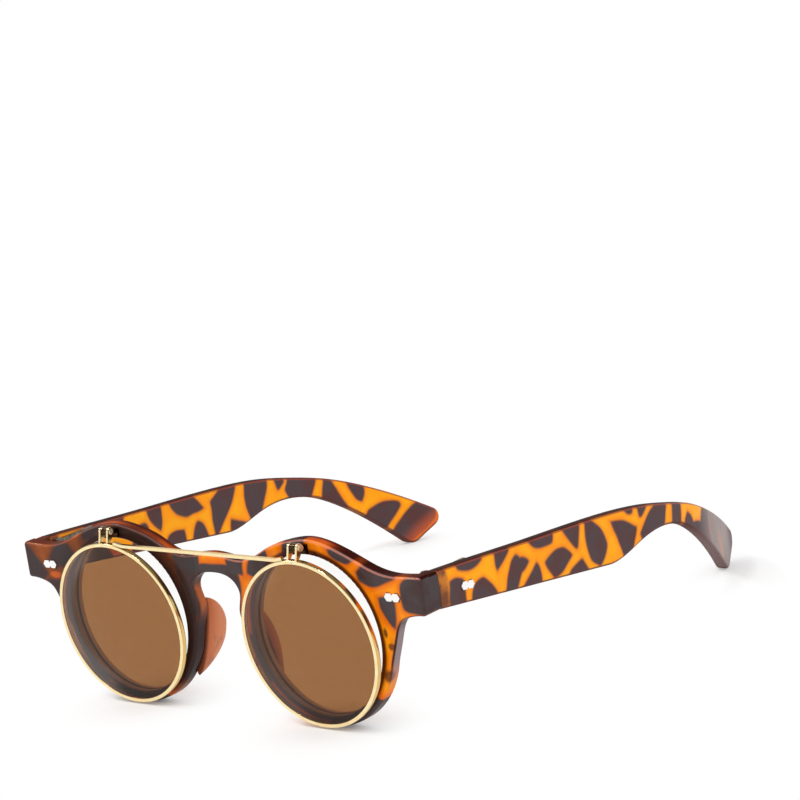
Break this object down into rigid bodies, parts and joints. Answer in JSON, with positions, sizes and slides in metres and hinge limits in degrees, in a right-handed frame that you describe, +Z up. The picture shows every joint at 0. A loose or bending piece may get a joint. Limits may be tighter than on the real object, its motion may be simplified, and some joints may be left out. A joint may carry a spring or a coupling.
{
  "type": "flip up sunglasses",
  "caption": "Round keyhole-bridge sunglasses with folding temples and a hinged gold-rimmed pair of tinted lenses that flips up off the clear fixed lenses.",
  "frame": {"origin": "on the surface the glasses stand on, under the middle of their overall box", "axes": "+X to the wearer's left, +Y back along the temples, +Z up; the front looks along -Y"},
  "size_m": [0.1426, 0.1544, 0.0494],
  "materials": {
    "tortoise_front": "polished amber and dark brown tortoise pattern",
    "tortoise_temple": "polished amber and dark brown tortoise pattern",
    "clear_lens": "clear, polished",
    "brown_lens": "brown tint, polished",
    "gold": "pale gold plating, polished",
    "silver": "polished",
    "hinge_steel": "plain"
  },
  "bodies": {
    "front": {"front_frame": "tortoise_front", "left_clear_lens": "clear_lens", "right_clear_lens": "clear_lens", "left_nose_pad": "tortoise_front", "right_nose_pad": "tortoise_front", "left_front_stud": "silver", "right_front_stud": "silver", "left_front_hinge_leaf": "hinge_steel", "right_front_hinge_leaf": "hinge_steel", "left_hinge_screw": "hinge_steel", "right_hinge_screw": "hinge_steel", "left_flip_bracket": "gold", "right_flip_bracket": "gold"},
    "flip_up": {"flip_bar": "gold", "left_eyewire": "gold", "right_eyewire": "gold", "left_tinted_lens": "brown_lens", "right_tinted_lens": "brown_lens", "left_outer_flip_ear": "gold", "right_outer_flip_ear": "gold", "left_inner_flip_ear": "gold", "right_inner_flip_ear": "gold", "left_flip_pin": "gold", "right_flip_pin": "gold"},
    "left_arm": {"left_temple": "tortoise_temple", "left_temple_stud": "silver", "left_temple_hinge_leaf": "hinge_steel"},
    "right_arm": {"right_temple": "tortoise_temple", "right_temple_stud": "silver", "right_temple_hinge_leaf": "hinge_steel"}
  },
  "joints": [
    {"name": "flip", "type": "hinge", "parent": "front", "child": "flip_up", "pos_m": [0, -0.07493, 0.0482], "axis": [-1, 0, 0], "range_deg": [0, 100]},
    {"name": "left_fold", "type": "hinge", "parent": "front", "child": "left_arm", "pos_m": [0.0657, -0.06383, 0.037], "axis": [0, 0, 1], "range_deg": [0, 89]},
    {"name": "right_fold", "type": "hinge", "parent": "front", "child": "right_arm", "pos_m": [-0.0657, -0.06383, 0.037], "axis": [0, 0, -1], "range_deg": [0, 81]}
  ]
}
